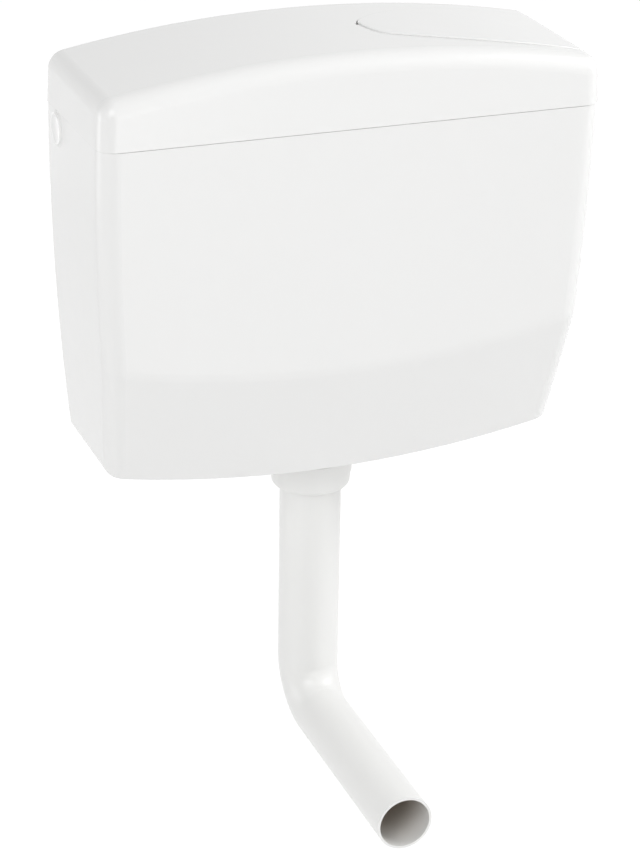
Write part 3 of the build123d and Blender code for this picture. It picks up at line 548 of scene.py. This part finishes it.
# Painted shade: inside the straight bore the colour is mixed towards a dark warm brown, deeper in
# from the mouth.
inside = nodes.new("ShaderNodeMix")
inside.data_type = "RGBA"
inside.inputs["B"].default_value = (0.56, 0.5, 0.44, 1)
links.new(place.outputs["Object"], across_leg.inputs[0])
links.new(across_leg.outputs["Vector"], reach.inputs[0])
links.new(reach.outputs["Value"], bore.inputs[0])
links.new(place.outputs["Object"], along.inputs["Vector"])
links.new(along.outputs["Y"], depth.inputs["Value"])
links.new(along.outputs["Y"], before_turn.inputs[0])
links.new(bore.outputs["Value"], straight_bore.inputs[0])
links.new(before_turn.outputs["Value"], straight_bore.inputs[1])
links.new(straight_bore.outputs["Value"], painted_bore_shade.inputs[0])
links.new(depth.outputs["Result"], painted_bore_shade.inputs[1])
links.new(painted_bore_shade.outputs["Value"], inside.inputs["Factor"])
links.new(outside_tone, inside.inputs["A"])
links.new(inside.outputs["Result"], shader.inputs["Base Color"])
dress(bend_plastic, "flush_bend")

# Floor, background and lights
# A plain white floor and background. Seen directly they are plain white, and the floor keeps a
# faint shadow. The lamps are large soft boxes of one size, aimed at the middle of the cistern.
floor_height = -0.83
sheet = bmesh.new()
bmesh.ops.create_grid(sheet, x_segments=1, y_segments=1, size=6)
bmesh.ops.translate(sheet, verts=sheet.verts, vec=(0, 0, floor_height))
floor_shape = bpy.data.meshes.new("floor")
sheet.to_mesh(floor_shape)
sheet.free()
floor = bpy.data.objects.new("floor", floor_shape)
bpy.context.scene.collection.objects.link(floor)
paper = bpy.data.materials.new("white_floor")
paper.use_nodes = True
nodes, links = paper.node_tree.nodes, paper.node_tree.links
matt = nodes["Principled BSDF"]
matt.inputs["Base Color"].default_value = (0.9, 0.9, 0.9, 1)
matt.inputs["Roughness"].default_value = 0.9
seen = nodes.new("ShaderNodeBsdfDiffuse")
seen.inputs["Color"].default_value = (0.22, 0.22, 0.22, 1)
white = nodes.new("ShaderNodeEmission")
white.inputs["Strength"].default_value = 0.9
both = nodes.new("ShaderNodeAddShader")
links.new(seen.outputs["BSDF"], both.inputs[0])
links.new(white.outputs["Emission"], both.inputs[1])


def seen_or_mirrored(nodes, links):
    """Is 1 for what the camera sees itself, in a reflection or through glass."""
    ray = nodes.new("ShaderNodeLightPath")
    first = nodes.new("ShaderNodeMath")
    second = nodes.new("ShaderNodeMath")
    for step in (first, second):
        step.operation = "ADD"
        step.use_clamp = True
    links.new(ray.outputs["Is Camera Ray"], first.inputs[0])
    links.new(ray.outputs["Is Glossy Ray"], first.inputs[1])
    links.new(first.outputs["Value"], second.inputs[0])
    links.new(ray.outputs["Is Transmission Ray"], second.inputs[1])
    return second.outputs["Value"]


choice = nodes.new("ShaderNodeMixShader")
links.new(seen_or_mirrored(nodes, links), choice.inputs["Fac"])
links.new(matt.outputs["BSDF"], choice.inputs[1])
links.new(both.outputs["Shader"], choice.inputs[2])
links.new(choice.outputs["Shader"], nodes["Material Output"].inputs["Surface"])
floor_shape.materials.append(paper)

studio = bpy.data.worlds.new("white_studio")
bpy.context.scene.world = studio
studio.use_nodes = True
nodes, links = studio.node_tree.nodes, studio.node_tree.links
air = nodes["Background"]
air.inputs["Color"].default_value = (1, 1, 1, 1)
air.inputs["Strength"].default_value = 0.45
backdrop = nodes.new("ShaderNodeBackground")
backdrop.inputs["Color"].default_value = (1, 1, 1, 1)
backdrop.inputs["Strength"].default_value = 1
choice = nodes.new("ShaderNodeMixShader")
links.new(seen_or_mirrored(nodes, links), choice.inputs["Fac"])
links.new(air.outputs["Background"], choice.inputs[1])
links.new(backdrop.outputs["Background"], choice.inputs[2])
links.new(choice.outputs["Shader"], nodes["World Output"].inputs["Surface"])
lit_middle = Vector((0, -0.1, -0.2))


def soft_box(name, place, power):
    lamp = bpy.data.lights.new(name, "AREA")
    lamp.shape = "RECTANGLE"
    lamp.size = 1.0
    lamp.size_y = 1.4
    lamp.energy = power
    box = bpy.data.objects.new(name, lamp)
    bpy.context.scene.collection.objects.link(box)
    aim = (lit_middle - Vector(place)).to_track_quat("-Z", "Y")
    box.matrix_world = Matrix.Translation(place) @ aim.to_matrix().to_4x4()


soft_box("left_box", (-2.247, 0.718, -0.309), 9.5)
soft_box("front_box", (0, -2.491, -0.309), 7.1)
soft_box("right_box", (2.309, -0.719, -0.309), 2.6)
soft_box("high_left_box", (-1.264, -1.606, 1.277), 16.8)
soft_box("high_front_box", (1.264, -1.606, 1.277), 2.4)
soft_box("high_right_box", (1.899, -0.609, 1.277), 26.7)
soft_box("back_box", (0, 2.3, -0.3), 11)
bpy.context.scene.view_settings.view_transform = "Standard"

# Camera
# It stands where the photograph was taken: to the left of the cistern and above it.
camera_place = Vector((-0.68024, -1.79864, 0.59173))
camera_heading = math.radians(-21.435)
camera_drop = math.radians(24.115)
camera_roll = math.radians(0.948)
photo_height = 852
focal_pixels = 2562.155
lens = bpy.data.cameras.new("photo_camera")
lens.sensor_width = 36
lens.lens = focal_pixels / photo_height * lens.sensor_width
lens.clip_start = 0.1
lens.clip_end = 50
camera = bpy.data.objects.new("photo_camera", lens)
bpy.context.scene.collection.objects.link(camera)
look = Vector((-math.sin(camera_heading) * math.cos(camera_drop),
               math.cos(camera_heading) * math.cos(camera_drop), -math.sin(camera_drop)))
level = Vector((math.cos(camera_heading), math.sin(camera_heading), 0))
upward = level.cross(look)
right = math.cos(camera_roll) * level + math.sin(camera_roll) * upward
upward = math.cos(camera_roll) * upward - math.sin(camera_roll) * level
turn = Matrix((right, upward, -look)).transposed()
camera.matrix_world = Matrix.Translation(camera_place) @ turn.to_4x4()
bpy.context.scene.camera = camera
